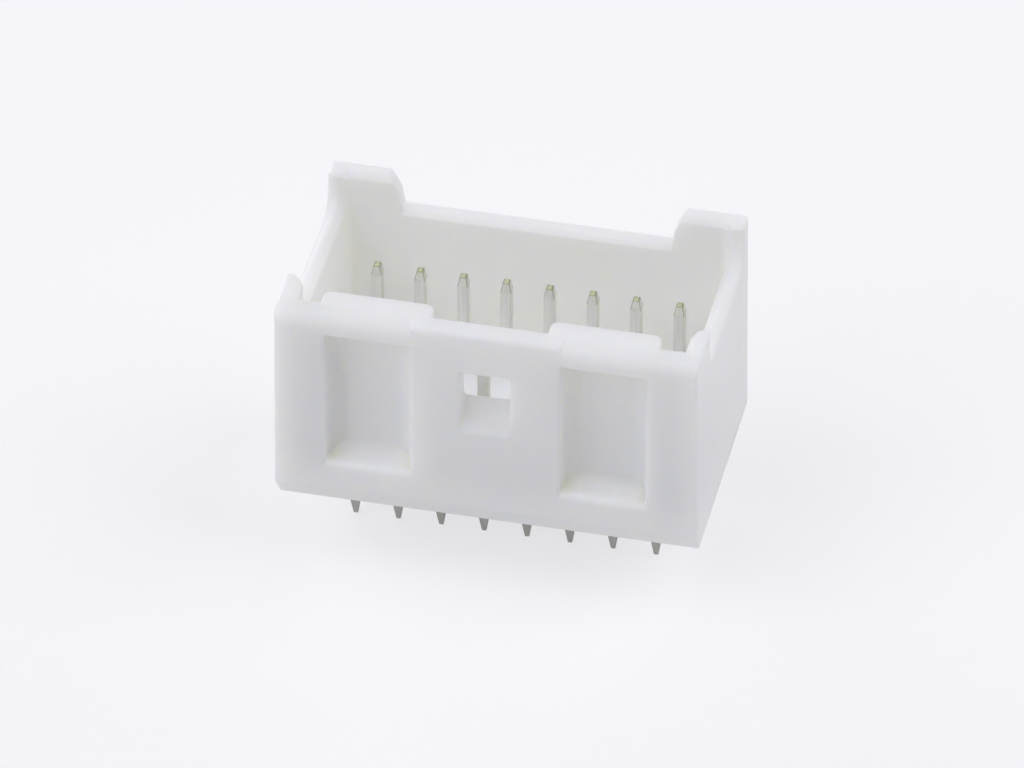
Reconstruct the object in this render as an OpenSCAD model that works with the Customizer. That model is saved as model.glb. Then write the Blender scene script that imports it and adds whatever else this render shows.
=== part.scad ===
// Shrouded two-row pin header for a circuit board.
// The origin is the centre of the face that sits on the board.
// +X runs along the rows, +Y to the back wall and +Z out of the board.

/* [Contacts] */
// Contact positions in each row
positions = 8; // [6:1:12]
// Spacing of the contacts along a row
pitch = 2; // [1.9:0.05:2.6]
// Spacing between the front row and the rear row
row_spacing = 4.7; // [4:0.1:5.2]
// Side of the square contact pins
pin_side = 0.5; // [0.4:0.02:0.64]
// Height of the contact tips above the board
tip_height = 6.9; // [5:0.05:8]
// Length of the solder tails below the board face
tail_length = 3.85; // [2.5:0.05:5]
// Length of the taper at a contact tip
tip_taper = 0.5; // [0.3:0.05:1.2]
// Width of a contact tip's blunt end
tip_end = 0.28; // [0.1:0.02:0.35]
// Length of the taper at the end of a solder tail
tail_taper = 1; // [0.5:0.05:1.5]
// Width of a solder tail's blunt end
tail_end = 0.2; // [0.1:0.02:0.35]

/* [Housing] */
// From the last contact to the end face at the rim
end_margin = 2.62; // [2.5:0.02:4]
// Depth of the housing from the front face to the back face at the rim
depth = 11.35; // [10.8:0.05:14]
// From the front row to the front face at the rim
front_margin = 4.25; // [3.8:0.05:4.6]
// Height of the front wall and the raised corners
rim_height = 10.55; // [10.1:0.05:13]
// Height of the end walls and of the middle of the back wall
low_height = 8.75; // [7.5:0.05:8.95]
// Thickness of the floor that holds the contacts
floor_height = 2; // [1:0.1:2.4]
// Thickness of the front wall
front_wall = 0.95; // [0.8:0.05:1.2]
// Thickness of the end walls
end_wall = 0.8; // [0.7:0.05:1.2]
// Thickness of the back wall
back_wall = 0.8; // [0.6:0.05:1.2]
// Set-in of each outer face from the foot to the rim, for the mould
draft = 0.12; // [0.02:0.02:0.2]
// Radius of the upright outer edges at the rim
corner_round = 0.2; // [0.05:0.05:0.4]
// Radius of the cavity's upright inner corners
cavity_round = 0.3; // [0.1:0.05:0.6]

/* [Rim] */
// Length of the raised front corners along the end walls
front_post = 2.7; // [2:0.1:4]
// Length of the raised front corners' inner bevel
post_bevel_length = 0.35; // [0.2:0.05:1]
// Width of the raised front corners' inner bevel
post_bevel_width = 0.5; // [0.2:0.05:0.6]
// Length of the raised rear corners along the end walls, in front of the back wall
rear_post = 0.4; // [0.3:0.05:1]
// Fillet between a rear corner and its end wall
post_fillet = 1; // [0.3:0.1:1.5]
// Width of the raised rear corners along the back wall, at their foot
ear_width = 3.4; // [2.5:0.1:4.5]
// Slope of the raised rear corners' inner sides
ear_slope = 0.16; // [0:0.02:0.4]
// Width of the bevel on top of the inner sides
ear_bevel_width = 0.45; // [0.1:0.05:0.8]
// Height of the bevel on top of the inner sides
ear_bevel_height = 0.85; // [0.3:0.05:1]
// Lead-in bevel on the inner edges of the end walls and the raised corners
lead_in = 0.3; // [0.1:0.05:0.3]
// Rounding of the raised corners' outer top edges
crown_round = 0.15; // [0.05:0.05:0.3]
// Rounding of the end walls' outer edges, up to the raised rear corners
end_round = 0.45; // [0.1:0.05:0.6]
// Bevel on the low part of the back wall
back_bevel = 0.2; // [0.05:0.05:0.4]

/* [Front wall] */
// Rounding of the front wall's top edge beside the centre panel
front_round = 0.85; // [0.3:0.05:0.95]
// Rounding of the centre panel's top edge
panel_round = 0.25; // [0.05:0.05:0.4]
// From a pocket to the end face
pocket_margin = 2.3; // [1.5:0.1:2.6]
// Width of a pocket
pocket_width = 3.9; // [2.5:0.05:4.1]
// Height of the pocket's floor
pocket_bottom = 2.35; // [1.5:0.05:3]
// Thickness of the bar over a pocket
pocket_bar = 1.1; // [0.9:0.05:2]
// Depth of a pocket
pocket_depth = 1.15; // [1.1:0.05:1.3]
// Radius of the pocket's upright inner corners
pocket_round = 0.85; // [0.1:0.05:0.9]
// Fillet between the pocket's back and its floor
pocket_fillet = 0.75; // [0.1:0.05:0.75]
// Rounding of the front edge of the pocket's floor
sill_round = 0.3; // [0.1:0.05:0.3]
// Rounding of the pocket's upright front edges
jamb_round = 0.15; // [0.05:0.05:0.15]
// Wall between the back of a pocket and the cavity
rib_wall = 0.7; // [0.5:0.05:1.2]
// Overlap of a rib past its pocket, towards the middle
rib_inner_side = 0.75; // [0.3:0.05:0.8]
// Overlap of a rib past its pocket, towards the end
rib_outer_side = 0.35; // [0.2:0.05:0.6]
// Radius of a rib's upright edges
rib_round = 0.35; // [0.1:0.05:0.5]

/* [Latch window] */
// Width of the window in the centre panel
window_width = 2.3; // [1.5:0.1:2.6]
// Height of the window's top edge
window_top = 8.4; // [7.5:0.1:9]
// Height of the window's sill at the cavity
window_sill = 6.6; // [6:0.1:7.2]
// Height where the ramp below the sill meets the front face
ramp_foot = 5.1; // [4:0.1:5.8]
// Fillet between the ramp and the window's sides
ramp_fillet = 0.15; // [0.1:0.05:0.6]

/* [Base] */
// Height of the taper along the front bottom edge
taper_height = 0.95; // [0.2:0.05:1.2]
// Depth of the taper along the front bottom edge
taper_depth = 0.45; // [0.05:0.05:0.6]
// Height of the bevel that marks the end with the first contact
mark_height = 1.05; // [0.3:0.05:1.8]
// Depth of the bevel that marks the end with the first contact
mark_depth = 0.2; // [0.1:0.05:0.6]

/* [Hidden] */
$fn = 48;
cut = 0.1;
row_length = (positions - 1) * pitch;
end_x = row_length / 2 + end_margin;
front_y = -depth / 2;
back_y = depth / 2;
front_row_y = front_y + front_margin;
rear_row_y = front_row_y + row_spacing;
cavity_x = end_x - end_wall;
cavity_front_y = front_y + front_wall;
cavity_back_y = back_y - back_wall;
pocket_out_x = end_x - pocket_margin;
pocket_in_x = pocket_out_x - pocket_width;
pocket_top = rim_height - pocket_bar;
rib_in_x = pocket_in_x - rib_inner_side;
rib_out_x = pocket_out_x + rib_outer_side;
rib_y = front_y + pocket_depth + rib_wall;
ear_foot_x = end_x - ear_width;
foot_x = end_x + draft;
foot_front_y = front_y - draft;
foot_back_y = back_y + draft;
draft_slope = draft / rim_height;
step_front_y = front_y + front_post;
step_back_y = cavity_back_y - rear_post;
fillet_y = step_back_y - post_fillet;
fillet_z = low_height + post_fillet;
rows = ["front", "rear"];

function pin_name(row, i) = str(row, "_pin_", i);

// Draws a YZ outline along X, from x0 to x1
module along_x(x0, x1) {
    translate([x0, 0, 0])
        rotate([90, 0, 90])
            linear_extrude(x1 - x0)
                children();
}

// Draws an XZ outline along Y, from y0 to y1
module along_y(y0, y1) {
    translate([0, y1, 0])
        rotate([90, 0, 0])
            linear_extrude(y1 - y0)
                children();
}

// Repeats a shape on the left and on the right
module both_ends() {
    children();
    mirror([1, 0, 0])
        children();
}

// Rectangle between two corners
module plate(low, high) {
    translate(low)
        square(high - low);
}

// Rectangle with four round corners
module round_plate(low, high, r) {
    plate([low.x + r, low.y], [high.x - r, high.y]);
    plate([low.x, low.y + r], [high.x, high.y - r]);
    for (x = [low.x + r, high.x - r], y = [low.y + r, high.y - r])
        translate([x, y])
            circle(r);
}

// What is cut away to bevel the corner at the origin by (w, h), with the solid towards (dx, dy)
module bevel_cut(w, h, dx, dy) {
    polygon([
        [dx * w, 0],
        [0, dy * h],
        [-dx * cut, dy * h],
        [-dx * cut, -dy * cut],
        [dx * w, -dy * cut],
    ]);
}

// What lies between the corner at the origin and a circle that touches its sides, towards (dx, dy)
module round_cut(r, dx, dy) {
    difference() {
        polygon([
            [-dx * cut, -dy * cut],
            [dx * r, -dy * cut],
            [dx * r, dy * r],
            [-dx * cut, dy * r],
        ]);
        translate([dx * r, dy * r])
            circle(r);
    }
}

// What is cut away to round the top edge at the origin of a drafted outer face, with the solid towards dx
module brow_cut(r, dx) {
    tilt = atan(draft_slope);
    centre_x = r / cos(tilt) - r * draft_slope;
    touch = [centre_x - r * cos(tilt), r * sin(tilt) - r];
    difference() {
        polygon([
            [dx * centre_x, -r],
            [dx * centre_x, cut],
            [-dx * cut, cut],
            [-dx * cut, touch.y],
            [dx * touch.x, touch.y],
        ]);
        translate([dx * centre_x, -r])
            circle(r);
    }
}

// Block with drafted faces and round upright edges
module block() {
    foot_round = corner_round + draft;
    side_x = end_x - corner_round;
    side_front_y = front_y + corner_round;
    side_back_y = back_y - corner_round;
    along_x(-side_x, side_x)
        polygon([
            [foot_front_y, 0],
            [foot_back_y, 0],
            [back_y, rim_height],
            [front_y, rim_height],
        ]);
    along_y(side_front_y, side_back_y)
        polygon([
            [-foot_x, 0],
            [foot_x, 0],
            [end_x, rim_height],
            [-end_x, rim_height],
        ]);
    for (x = [-side_x, side_x], y = [side_front_y, side_back_y])
        translate([x, y, 0])
            cylinder(h = rim_height, r1 = foot_round, r2 = corner_round);
}

// Plan of the space inside the walls, less the ribs behind the pockets
module cavity_plan() {
    difference() {
        round_plate([-cavity_x, cavity_front_y], [cavity_x, cavity_back_y], cavity_round);
        both_ends()
            round_plate([rib_in_x, front_y], [rib_out_x, rib_y], rib_round);
    }
}

module cavity() {
    translate([0, 0, floor_height])
        linear_extrude(rim_height)
            cavity_plan();
}

// Steps the end walls down between the raised corners
module end_wall_steps() {
    along_x(-foot_x - cut, foot_x + cut)
        difference() {
            plate([step_front_y, low_height], [step_back_y, rim_height + cut]);
            translate([step_back_y, low_height])
                round_cut(post_fillet, -1, 1);
        }
}

// Steps the back wall down between the raised rear corners
module back_wall_step() {
    bevel_z = rim_height - ear_bevel_height;
    bevel_x = ear_foot_x + ear_slope;
    top_x = bevel_x + ear_bevel_width;
    along_y(cavity_back_y - cut, foot_back_y + cut)
        polygon([
            [-ear_foot_x, low_height],
            [ear_foot_x, low_height],
            [bevel_x, bevel_z],
            [top_x, rim_height],
            [top_x, rim_height + cut],
            [-top_x, rim_height + cut],
            [-top_x, rim_height],
            [-bevel_x, bevel_z],
        ]);
    along_x(-ear_foot_x, ear_foot_x)
        translate([cavity_back_y, low_height])
            bevel_cut(back_bevel, back_bevel, 1, -1);
}

// Bevels the raised corners' inner top edges
module mouth_lead_in() {
    along_x(-cavity_x, cavity_x)
        translate([cavity_back_y, rim_height])
            bevel_cut(lead_in, lead_in, 1, -1);
    both_ends()
        along_y(cavity_front_y, cavity_back_y)
            translate([cavity_x, rim_height])
                bevel_cut(lead_in, lead_in, 1, -1);
}

// Rounds the outer edge of an end wall, along its top, round the fillet and up the raised rear corner
module end_wall_round() {
    edge_x = end_x + draft_slope * (rim_height - low_height + 2 * end_round);
    along_y(step_front_y, fillet_y)
        translate([edge_x, low_height])
            round_cut(end_round, -1, -1);
    translate([edge_x, fillet_y, fillet_z])
        rotate([0, 90, 0])
            rotate_extrude(angle = 90)
                translate([post_fillet, 0])
                    round_cut(end_round, 1, -1);
    translate([0, 0, fillet_z])
        linear_extrude(rim_height)
            translate([edge_x, step_back_y])
                round_cut(end_round, -1, 1);
}

// Bevels the inner edge of an end wall, along its top, round the fillet and up the raised rear corner
module end_wall_lead_in() {
    reach = post_fillet + lead_in;
    along_y(step_front_y, fillet_y)
        translate([cavity_x, low_height])
            bevel_cut(lead_in, lead_in, 1, -1);
    intersection() {
        translate([cavity_x - cut, fillet_y, fillet_z])
            rotate([0, 90, 0])
                cylinder(h = lead_in + cut, r1 = reach + cut, r2 = post_fillet);
        translate([cavity_x - cut, fillet_y, fillet_z - reach])
            cube([lead_in + cut, reach, reach]);
    }
    translate([0, 0, fillet_z])
        linear_extrude(rim_height)
            translate([cavity_x, step_back_y])
                bevel_cut(lead_in, lead_in, 1, 1);
}

// Bevels the upright inner edge of a raised front corner
module front_post_bevel() {
    translate([0, 0, low_height])
        linear_extrude(rim_height)
            translate([cavity_x, step_front_y])
                bevel_cut(post_bevel_width, post_bevel_length, 1, -1);
}

// Rounds the outer top edge of the raised corners at one end
module crown_cut() {
    along_y(foot_front_y, foot_back_y)
        translate([end_x, rim_height])
            brow_cut(crown_round, -1);
}

// Rounds the top edge of the front wall, more beside the centre panel than on it
module front_edge_cut() {
    both_ends()
        along_x(pocket_in_x, foot_x + cut)
            translate([front_y, rim_height])
                brow_cut(front_round, 1);
    along_x(-pocket_in_x, pocket_in_x)
        translate([front_y, rim_height])
            brow_cut(panel_round, 1);
}

// Leans a shape whose mouth is at y = 0 so that it follows the drafted front face
module on_front_face() {
    translate([0, front_y, rim_height])
        rotate([-atan(draft_slope), 0, 0])
            translate([0, 0, -rim_height])
                children();
}

// Side outline of a pocket, with a filleted floor and a rounded front edge
module pocket_side() {
    difference() {
        plate([-cut, pocket_bottom], [pocket_depth, pocket_top]);
        translate([pocket_depth, pocket_bottom])
            round_cut(pocket_fillet, -1, 1);
    }
    translate([0, pocket_bottom])
        round_cut(sill_round, 1, -1);
}

// Plan of a pocket, with round inner corners and round front edges
module pocket_plan() {
    round_plate([pocket_in_x, -2 * pocket_round], [pocket_out_x, pocket_depth], pocket_round);
    translate([pocket_in_x, 0])
        round_cut(jamb_round, -1, 1);
    translate([pocket_out_x, 0])
        round_cut(jamb_round, 1, 1);
}

module pocket() {
    on_front_face()
        intersection() {
            along_x(pocket_in_x - pocket_round, pocket_out_x + pocket_round)
                pocket_side();
            linear_extrude(rim_height)
                pocket_plan();
        }
}

// Opening in the centre panel, with a filleted ramp below its sill
module window() {
    wall = front_wall + draft_slope * (rim_height - window_sill);
    lean = atan(wall / (window_sill - ramp_foot));
    on_front_face()
        intersection() {
            along_x(-window_width, window_width)
                plate([-cut, 0], [wall + cut, window_top]);
            translate([0, 0, ramp_foot])
                rotate([-lean, 0, 0])
                    linear_extrude(2 * rim_height, center = true)
                        round_plate([-window_width / 2, -rim_height], [window_width / 2, 0], ramp_fillet);
        }
}

// Square holes that the contacts are pressed into
module contact_holes() {
    for (row = rows, i = [1:positions])
        at_contact(row, i)
            linear_extrude(2 * floor_height + cut, center = true)
                square(pin_side, center = true);
}

// Tapers the front bottom edge, and bevels the end with the first contact
module base_edges() {
    along_x(-foot_x - cut, foot_x + cut)
        translate([foot_front_y, 0])
            bevel_cut(taper_depth, taper_height, 1, 1);
    along_y(foot_front_y - cut, foot_back_y + cut)
        translate([-foot_x, 0])
            bevel_cut(mark_depth, mark_height, 1, 1);
}

module housing() {
    color("whitesmoke")
        difference() {
            block();
            cavity();
            end_wall_steps();
            back_wall_step();
            mouth_lead_in();
            both_ends() {
                end_wall_round();
                end_wall_lead_in();
                front_post_bevel();
                crown_cut();
                pocket();
            }
            front_edge_cut();
            window();
            contact_holes();
            base_edges();
        }
}

// Moves a shape to a contact of a row, counted from the left
module at_contact(row, i) {
    x = (i - 1) * pitch - row_length / 2;
    y = row == "front" ? front_row_y : rear_row_y;
    translate([x, y, 0])
        children();
}

// Outline of a pin from its tail to its tip
module pin_outline() {
    half = pin_side / 2;
    tip = tip_end / 2;
    tail = tail_end / 2;
    tail_z = -tail_length;
    polygon([
        [-tip, tip_height],
        [tip, tip_height],
        [half, tip_height - tip_taper],
        [half, tail_z + tail_taper],
        [tail, tail_z],
        [-tail, tail_z],
        [-half, tail_z + tail_taper],
        [-half, tip_height - tip_taper],
    ]);
}

module contact_pin(row, i) {
    color("silver")
        at_contact(row, i)
            intersection() {
                along_x(-pin_side / 2, pin_side / 2)
                    pin_outline();
                along_y(-pin_side / 2, pin_side / 2)
                    pin_outline();
            }
}

housing();
for (row = rows, i = [1:positions])
    contact_pin(row, i);
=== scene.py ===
"""Looks of a shrouded two-row pin header: a moulded white housing and plated contact pins."""

import math

import bpy
from mathutils import Matrix, Vector


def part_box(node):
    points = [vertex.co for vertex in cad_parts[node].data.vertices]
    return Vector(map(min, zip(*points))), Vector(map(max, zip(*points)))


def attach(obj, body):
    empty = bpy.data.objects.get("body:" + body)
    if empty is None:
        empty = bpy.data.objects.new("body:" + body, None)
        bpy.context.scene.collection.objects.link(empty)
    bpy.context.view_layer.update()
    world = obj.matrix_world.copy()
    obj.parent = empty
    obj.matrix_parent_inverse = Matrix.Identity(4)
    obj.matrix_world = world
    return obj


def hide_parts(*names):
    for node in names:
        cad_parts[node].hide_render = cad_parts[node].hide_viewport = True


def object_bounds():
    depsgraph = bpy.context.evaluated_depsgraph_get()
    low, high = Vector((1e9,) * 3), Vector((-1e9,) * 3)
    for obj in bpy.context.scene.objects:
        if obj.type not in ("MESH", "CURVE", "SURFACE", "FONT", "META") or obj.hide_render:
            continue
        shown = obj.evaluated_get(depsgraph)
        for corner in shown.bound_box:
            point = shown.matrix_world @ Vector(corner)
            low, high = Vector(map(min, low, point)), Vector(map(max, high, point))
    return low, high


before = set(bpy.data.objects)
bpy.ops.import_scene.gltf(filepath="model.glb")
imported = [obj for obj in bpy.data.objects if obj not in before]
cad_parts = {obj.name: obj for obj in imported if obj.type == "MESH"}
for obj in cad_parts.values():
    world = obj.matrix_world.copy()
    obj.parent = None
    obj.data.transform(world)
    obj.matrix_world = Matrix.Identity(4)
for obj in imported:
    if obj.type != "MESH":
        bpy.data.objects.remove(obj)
cad_low, cad_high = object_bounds()

MM = 0.001
WHITE = (1.0, 1.0, 1.0)
BLACK = (0.0, 0.0, 0.0)

# The photograph's view: where the camera stands and where the part's origin lies in its picture
PHOTO_WIDTH_PX = 1024
CAMERA_AZIMUTH = math.radians(12.67)
CAMERA_ELEVATION = math.radians(38.02)
CAMERA_ROLL = math.radians(-0.05)
CAMERA_DISTANCE = 415.11 * MM
CAMERA_RIGHT = -0.03 * MM
CAMERA_UP = 2.858 * MM
FOCAL_PX = 9151.8
SENSOR_WIDTH = 36.0

# Soft distant lamps: azimuth (0 in front of the part, 90 at its right end), elevation, strength, spread
LAMPS = {
    "overhead": (0, 90, 0.10, 30),
    "right_high": (90, 50, 1.23, 45),
    "left_high": (270, 50, 0.41, 45),
    "left_front_high": (315, 50, 1.12, 45),
    "left_front_low": (315, 15, 0.26, 36),
    "right_back": (135, 15, 0.53, 36),
    "back": (180, 15, 0.18, 36),
    "left_back": (225, 15, 0.88, 36),
}
LAMP_COLOUR = (0.96, 0.962, 1.0)

# Surroundings: the sheet shows nearly white, keeps a light shadow and sends light up from below
BACKDROP_COLOUR = (0.98, 0.973, 1.0)
FLOOR_SHOWN = (0.96, 0.955, 0.99)
FLOOR_BOUNCE = (0.9, 0.9, 0.9)
FLOOR_GLOW = 0.65
FLOOR_HALF_SIZE = 1.5

# Softened edges, in millimetres for the housing's fine mesh
WELD_DISTANCE = 1e-7
VOXEL_MM = 0.04
SMOOTH_FACTOR = 0.5
SMOOTH_STEPS = 4
KEPT_SHARE = 0.09
FLAT_WALL_WEIGHT = 50
FLAT_ANGLE = math.radians(0.5)
SHARP_ANGLE = math.radians(30)
PIN_EDGE = 0.04 * MM
PIN_EDGE_SEGMENTS = 3

# Lead-in around the cavity's rounded rear corners, in millimetres
RIM_TOP = 10.55
LEAD_IN = 0.3
CAVITY_CORNER = (8.52, 4.575)
CAVITY_ROUND = 0.3
CORNER_POINTS = 9

# Ends of the pins
TIP_TAPER = 0.5 * MM
TAIL_TAPER = 1.0 * MM
CUT_END = 0.06 * MM

# Resin: two near whites in soft clouds, with painted warm shade where the surroundings close in
RESIN_TINTS = [(0.3, (0.97, 0.972, 0.945)), (0.7, (0.98, 0.982, 0.955))]
PAINTED_SHADE_TINTS = [(0.3, (0.78, 0.77, 0.65)), (0.55, (0.95, 0.95, 0.91)), (0.75, WHITE)]
PAINTED_SHADE_REACH = 1.6 * MM
PAINTED_SHADE_SAMPLES = 8
SCATTER_SHARES = (1.0, 0.97, 0.7)
SCATTER_LENGTH = 3.0 * MM
RESIN_SPECULAR = 0.35
RESIN_ROUGHNESS = {"To Min": 0.42, "To Max": 0.52}
CLOUD_NOISE = {"Scale": 350.0, "Detail": 3.0}
GRAIN_NOISE = {"Scale": 6000.0, "Detail": 2.0}
GRAIN_BUMP = {"Strength": 0.05, "Distance": 0.01 * MM}

# Plating: colours by height and by how far a face turns to the side, with painted shade on the tails, the
# tip tapers and the tips' turned faces
PLATE = (0.98, 0.98, 0.96)
# Painted shade: the solder tails are darkened to stand in for the shadow they reflect under the housing
PAINTED_TAIL_SHADE = (0.48, 0.48, 0.46)
# Painted shade: the tip tapers are greyed for the shaded surroundings they reflect
PAINTED_TIP_SHADE = (0.88, 0.88, 0.83)
BARE_ALLOY = (0.56, 0.57, 0.38)
# Faces turned sideways are greyer: bare sheared sides, deepened as painted shade
SHEARED_SIDE_AND_SHADE = (0.84, 0.84, 0.80)
# Painted shade: dark streaks along the tip tapers' turned faces and edges
PAINTED_EDGE_SHADE = (0.72, 0.72, 0.70)
FRONT_TURN = 0.12
EDGE_TURN = 0.24
LAST_EDGE_TURN = 0.955
SIDE_TURN = 0.97
STREAK_STRETCH = (9000.0, 9000.0, 400.0)
STREAK_NOISE = {"Scale": 1.0, "Detail": 3.0}
STREAK_TINTS = [(0.3, (0.90, 0.90, 0.90)), (0.7, WHITE)]
PLATE_ROUGHNESS = {"To Min": 0.38, "To Max": 0.5}
PLATE_METALLIC = 0.5


class Shader:
    """Short names for building a material's node tree."""

    def __init__(self, name):
        self.material = bpy.data.materials.new(name)
        self.material.use_nodes = True
        self.tree = self.material.node_tree
        self.surface = self.tree.nodes["Principled BSDF"]

    def node(self, kind, values=None, **settings):
        made = self.tree.nodes.new(kind)
        for key, value in settings.items():
            setattr(made, key, value)
        for key, value in (values or {}).items():
            made.inputs[key].default_value = value
        return made

    def link(self, source, target):
        self.tree.links.new(source, target)

    def set(self, **values):
        for key, value in values.items():
            self.surface.inputs[key.replace("_", " ")].default_value = value

    def ramp(self, factor, stops):
        made = self.node("ShaderNodeValToRGB")
        elements = made.color_ramp.elements
        for element, (position, colour) in zip(elements, (stops[0], stops[-1])):
            element.position = position
            element.color = (*colour, 1)
        for position, colour in stops[1:-1]:
            elements.new(position).color = (*colour, 1)
        self.link(factor, made.inputs["Fac"])
        return made.outputs["Color"]

    def multiply(self, first, second, share=None):
        made = self.node("ShaderNodeMix", data_type="RGBA", blend_type="MULTIPLY")
        made.inputs["Factor"].default_value = 1.0
        if share:
            self.link(share, made.inputs["Factor"])
        self.link(first, made.inputs[6])
        self.link(second, made.inputs[7])
        return made.outputs[2]


def housing_material():
    """Natural white moulding resin: satin, translucent, with painted warm shade darkening its deep corners.
    """
    shader = Shader("housing_resin")
    place = shader.node("ShaderNodeTexCoord").outputs["Object"]
    cloud = shader.node("ShaderNodeTexNoise", CLOUD_NOISE)
    shader.link(place, cloud.inputs["Vector"])
    tint = shader.ramp(cloud.outputs["Fac"], RESIN_TINTS)
    # Painted shade: ambient occlusion darkens and warms the resin's colour in its corners and recesses
    shade = shader.node("ShaderNodeAmbientOcclusion", {"Distance": PAINTED_SHADE_REACH}, samples=PAINTED_SHADE_SAMPLES)
    painted_shade = shader.ramp(shade.outputs["AO"], PAINTED_SHADE_TINTS)
    shader.link(shader.multiply(tint, painted_shade), shader.surface.inputs["Base Color"])
    shader.set(Subsurface_Weight=1.0, Subsurface_Radius=SCATTER_SHARES, Subsurface_Scale=SCATTER_LENGTH)
    shader.set(Specular_IOR_Level=RESIN_SPECULAR)
    grain = shader.node("ShaderNodeTexNoise", GRAIN_NOISE)
    shader.link(place, grain.inputs["Vector"])
    bump = shader.node("ShaderNodeBump", GRAIN_BUMP)
    shader.link(grain.outputs["Fac"], bump.inputs["Height"])
    shader.link(bump.outputs["Normal"], shader.surface.inputs["Normal"])
    gloss = shader.node("ShaderNodeMapRange", RESIN_ROUGHNESS)
    shader.link(cloud.outputs["Fac"], gloss.inputs["Value"])
    shader.link(gloss.outputs["Result"], shader.surface.inputs["Roughness"])
    return shader.material


def plating_material():
    """Matt tin plate with drawn streaks and bare alloy at the cut tips; painted shade on the tails and tip
    tapers, and greyer sheared sides deepened by painted shade.
    """
    shader = Shader("pin_plating")
    coordinates = shader.node("ShaderNodeTexCoord")
    place = coordinates.outputs["Object"]
    stretch = shader.node("ShaderNodeMapping", {"Scale": STREAK_STRETCH})
    shader.link(place, stretch.inputs["Vector"])
    streaks = shader.node("ShaderNodeTexNoise", STREAK_NOISE)
    shader.link(stretch.outputs["Vector"], streaks.inputs["Vector"])
    tint = shader.ramp(streaks.outputs["Fac"], STREAK_TINTS)
    low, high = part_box("front_pin_1")
    reach = shader.node("ShaderNodeMapRange", {"From Min": low[2], "From Max": high[2]})
    split = shader.node("ShaderNodeSeparateXYZ")
    shader.link(place, split.inputs["Vector"])
    shader.link(split.outputs["Z"], reach.inputs["Value"])
    length = high[2] - low[2]
    tail = TAIL_TAPER / length
    board = -low[2] / length
    tip = 1 - TIP_TAPER / length
    cut = CUT_END / length
    along = shader.ramp(reach.outputs["Result"], [
        (0, PAINTED_TAIL_SHADE),
        (tail, PAINTED_TAIL_SHADE),
        (board, PLATE),
        (tip - cut, PLATE),
        (tip, PAINTED_TIP_SHADE),
        (1 - 2 * cut, PAINTED_TIP_SHADE),
        (1 - cut, BARE_ALLOY),
        (1, BARE_ALLOY),
    ])
    turn = shader.node("ShaderNodeSeparateXYZ")
    shader.link(coordinates.outputs["Normal"], turn.inputs["Vector"])
    sideways = shader.node("ShaderNodeMath", operation="ABSOLUTE")
    shader.link(turn.outputs["X"], sideways.inputs[0])
    # Sideways faces greyer: sheared sides, partly painted shade
    sides = shader.ramp(sideways.outputs["Value"], [
        (FRONT_TURN, WHITE), (EDGE_TURN, SHEARED_SIDE_AND_SHADE), (1, SHEARED_SIDE_AND_SHADE)])
    # Painted shade along the tips' edges and tapered sides, kept off the shafts by the tip mask
    edges = shader.ramp(sideways.outputs["Value"], [
        (FRONT_TURN, WHITE), (EDGE_TURN, PAINTED_EDGE_SHADE), (LAST_EDGE_TURN, PAINTED_EDGE_SHADE), (SIDE_TURN, WHITE)])
    at_tip = shader.ramp(reach.outputs["Result"], [(tip - cut, BLACK), (tip, WHITE)])
    colour = shader.multiply(shader.multiply(tint, along), sides)
    colour = shader.multiply(colour, edges, at_tip)
    shader.link(colour, shader.surface.inputs["Base Color"])
    gloss = shader.node("ShaderNodeMapRange", PLATE_ROUGHNESS)
    shader.link(streaks.outputs["Fac"], gloss.inputs["Value"])
    shader.link(gloss.outputs["Result"], shader.surface.inputs["Roughness"])
    shader.set(Metallic=PLATE_METALLIC)
    return shader.material


def lead_in_cutter(side):
    """Flared block that carries the lead-in round a rear corner: side is -1 on the left, 1 on the right."""
    centre_x, centre_y = CAVITY_CORNER
    turns = [math.pi / 2 * i / (CORNER_POINTS - 1) for i in range(CORNER_POINTS)]
    points = []
    for flare, z in ((0, RIM_TOP - LEAD_IN), (2 * LEAD_IN, RIM_TOP + LEAD_IN)):
        reach = CAVITY_ROUND + flare
        points.append((side * (centre_x - CAVITY_ROUND), centre_y, z))
        for t in turns:
            points.append((side * (centre_x + reach * math.cos(t)), centre_y + reach * math.sin(t), z))
        points.append((side * (centre_x - CAVITY_ROUND), centre_y + reach, z))
    count = len(points) // 2
    ring = list(range(count))
    faces = [ring[::-side], [count + i for i in ring[::side]]]
    faces += [[i, (i + 1) % count, count + (i + 1) % count, count + i][::side] for i in ring]
    mesh = bpy.data.meshes.new("lead_in_cutter")
    mesh.from_pydata(points, [], faces)
    return bpy.data.objects.new("lead_in_cutter", mesh)


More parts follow.
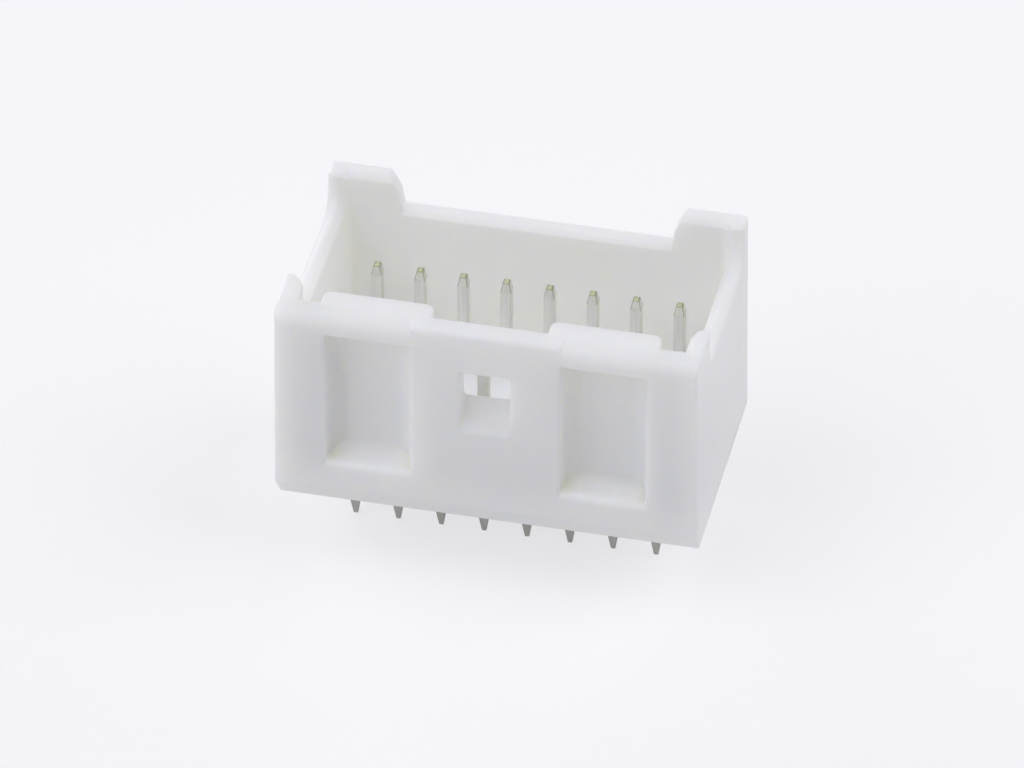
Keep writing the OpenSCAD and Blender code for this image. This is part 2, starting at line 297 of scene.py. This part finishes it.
def make_housing(resin):
    """Housing with softly moulded edges: the solid remeshed finely, smoothed and thinned again."""
    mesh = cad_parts["housing"].data.copy()
    mesh.transform(Matrix.Scale(1 / MM, 4))
    shell = bpy.data.objects.new("housing_shell", mesh)
    bpy.context.scene.collection.objects.link(shell)
    cutters = [lead_in_cutter(side) for side in (-1, 1)]
    for cutter in cutters:
        bpy.context.scene.collection.objects.link(cutter)
        trim = shell.modifiers.new("lead_in", "BOOLEAN")
        trim.operation = "DIFFERENCE"
        trim.object = cutter
    grid = shell.modifiers.new("fine_grid", "REMESH")
    grid.mode = "VOXEL"
    grid.voxel_size = VOXEL_MM
    smooth = shell.modifiers.new("soft_edges", "SMOOTH")
    smooth.factor = SMOOTH_FACTOR
    smooth.iterations = SMOOTH_STEPS
    thin = shell.modifiers.new("fewer_faces", "DECIMATE")
    thin.ratio = KEPT_SHARE
    shown = shell.evaluated_get(bpy.context.evaluated_depsgraph_get())
    shell.data = bpy.data.meshes.new_from_object(shown)
    shell.modifiers.clear()
    bpy.data.meshes.remove(mesh)
    for cutter in cutters:
        bpy.data.meshes.remove(cutter.data)
    shell.data.name = "housing_shell"
    shell.data.transform(Matrix.Scale(MM, 4))
    shell.data.shade_smooth()
    shell.data.materials.clear()
    shell.data.materials.append(resin)
    normals = shell.modifiers.new("flat_walls", "WEIGHTED_NORMAL")
    normals.weight = FLAT_WALL_WEIGHT
    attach(shell, "root")
    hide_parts("housing")


def soften(node, width, segments):
    """Rounds a node's sharp edges in its shown shape; the node's own mesh stays as it is."""
    weld = node.modifiers.new("weld", "WELD")
    weld.merge_threshold = WELD_DISTANCE
    flat = node.modifiers.new("flat_faces", "DECIMATE")
    flat.decimate_type = "DISSOLVE"
    flat.angle_limit = FLAT_ANGLE
    edge = node.modifiers.new("round_edges", "BEVEL")
    edge.limit_method = "ANGLE"
    edge.angle_limit = SHARP_ANGLE
    edge.width = width
    edge.segments = segments
    edge.use_clamp_overlap = False


def dress_part():
    resin = housing_material()
    plating = plating_material()
    make_housing(resin)
    for name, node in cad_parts.items():
        node.data.materials.clear()
        if name == "housing":
            node.data.materials.append(resin)
        else:
            node.data.materials.append(plating)
            soften(node, PIN_EDGE, PIN_EDGE_SEGMENTS)


def seen_ray(tree):
    """1 for rays from the camera and for those that glossy or clear surfaces send on, else 0."""
    path = tree.nodes.new("ShaderNodeLightPath")
    seen = path.outputs["Is Camera Ray"]
    for kind in ("Is Glossy Ray", "Is Transmission Ray"):
        either = tree.nodes.new("ShaderNodeMath")
        either.operation = "MAXIMUM"
        tree.links.new(seen, either.inputs[0])
        tree.links.new(path.outputs[kind], either.inputs[1])
        seen = either.outputs["Value"]
    return seen


def floor_material():
    """Pale matt sheet that shows nearly white and keeps a light shadow."""
    shader = Shader("pale_sheet")
    seen = seen_ray(shader.tree)
    colour = shader.node("ShaderNodeMix", data_type="RGBA")
    shader.link(seen, colour.inputs["Factor"])
    colour.inputs[6].default_value = (*FLOOR_BOUNCE, 1)
    colour.inputs[7].default_value = (*FLOOR_SHOWN, 1)
    shader.link(colour.outputs[2], shader.surface.inputs["Base Color"])
    shader.set(Roughness=1.0, Specular_IOR_Level=0.0)
    glow = shader.node("ShaderNodeEmission", {"Color": (*BACKDROP_COLOUR, 1)})
    share = shader.node("ShaderNodeMath", operation="MULTIPLY")
    shader.link(seen, share.inputs[0])
    share.inputs[1].default_value = FLOOR_GLOW
    mix = shader.node("ShaderNodeMixShader")
    shader.link(share.outputs["Value"], mix.inputs["Fac"])
    shader.link(shader.surface.outputs["BSDF"], mix.inputs[1])
    shader.link(glow.outputs["Emission"], mix.inputs[2])
    shader.link(mix.outputs["Shader"], shader.tree.nodes["Material Output"].inputs["Surface"])
    return shader.material


def make_floor():
    """Pale floor at the ends of the solder tails."""
    mesh = bpy.data.meshes.new("floor")
    half = FLOOR_HALF_SIZE
    corners = [(-half, -half, 0), (half, -half, 0), (half, half, 0), (-half, half, 0)]
    mesh.from_pydata(corners, [], [(0, 1, 2, 3)])
    floor = bpy.data.objects.new("floor", mesh)
    floor.location.z = cad_low.z
    mesh.materials.append(floor_material())
    bpy.context.scene.collection.objects.link(floor)


def make_world():
    """Pale backdrop, shown to the camera and in reflections; the lamps give the light."""
    world = bpy.data.worlds.new("studio")
    world.use_nodes = True
    bpy.context.scene.world = world
    tree = world.node_tree
    backdrop = tree.nodes["Background"]
    backdrop.inputs["Color"].default_value = (*BACKDROP_COLOUR, 1)
    tree.links.new(seen_ray(tree), backdrop.inputs["Strength"])


def add_lamp(name, azimuth, elevation, strength, spread):
    lamp = bpy.data.lights.new(name, "SUN")
    lamp.energy = strength
    lamp.color = LAMP_COLOUR
    lamp.angle = math.radians(spread)
    sun = bpy.data.objects.new(name, lamp)
    a = math.radians(azimuth)
    e = math.radians(elevation)
    towards = Vector((math.sin(a) * math.cos(e), -math.cos(a) * math.cos(e), math.sin(e)))
    sun.rotation_euler = towards.to_track_quat("Z", "Y").to_euler()
    bpy.context.scene.collection.objects.link(sun)


def make_camera():
    """Camera at the photograph's view of the part."""
    across = Vector((math.cos(CAMERA_AZIMUTH), math.sin(CAMERA_AZIMUTH), 0))
    flat = math.cos(CAMERA_ELEVATION)
    back = Vector((across.y * flat, -across.x * flat, math.sin(CAMERA_ELEVATION)))
    roll = Matrix.Rotation(CAMERA_ROLL, 3, back)
    right = roll @ across
    up = back.cross(right)
    data = bpy.data.cameras.new("camera")
    data.sensor_width = SENSOR_WIDTH
    data.lens = FOCAL_PX / PHOTO_WIDTH_PX * SENSOR_WIDTH
    data.clip_start = 0.01
    data.clip_end = 10.0
    camera = bpy.data.objects.new("camera", data)
    place = right * CAMERA_RIGHT + up * CAMERA_UP + back * CAMERA_DISTANCE
    turn = Matrix((right, up, back)).transposed().to_4x4()
    camera.matrix_world = Matrix.Translation(place) @ turn
    bpy.context.scene.collection.objects.link(camera)
    bpy.context.scene.camera = camera


dress_part()
make_floor()
make_world()
for lamp_name, setting in LAMPS.items():
    add_lamp(lamp_name, *setting)
make_camera()
bpy.context.scene.view_settings.view_transform = "Standard"
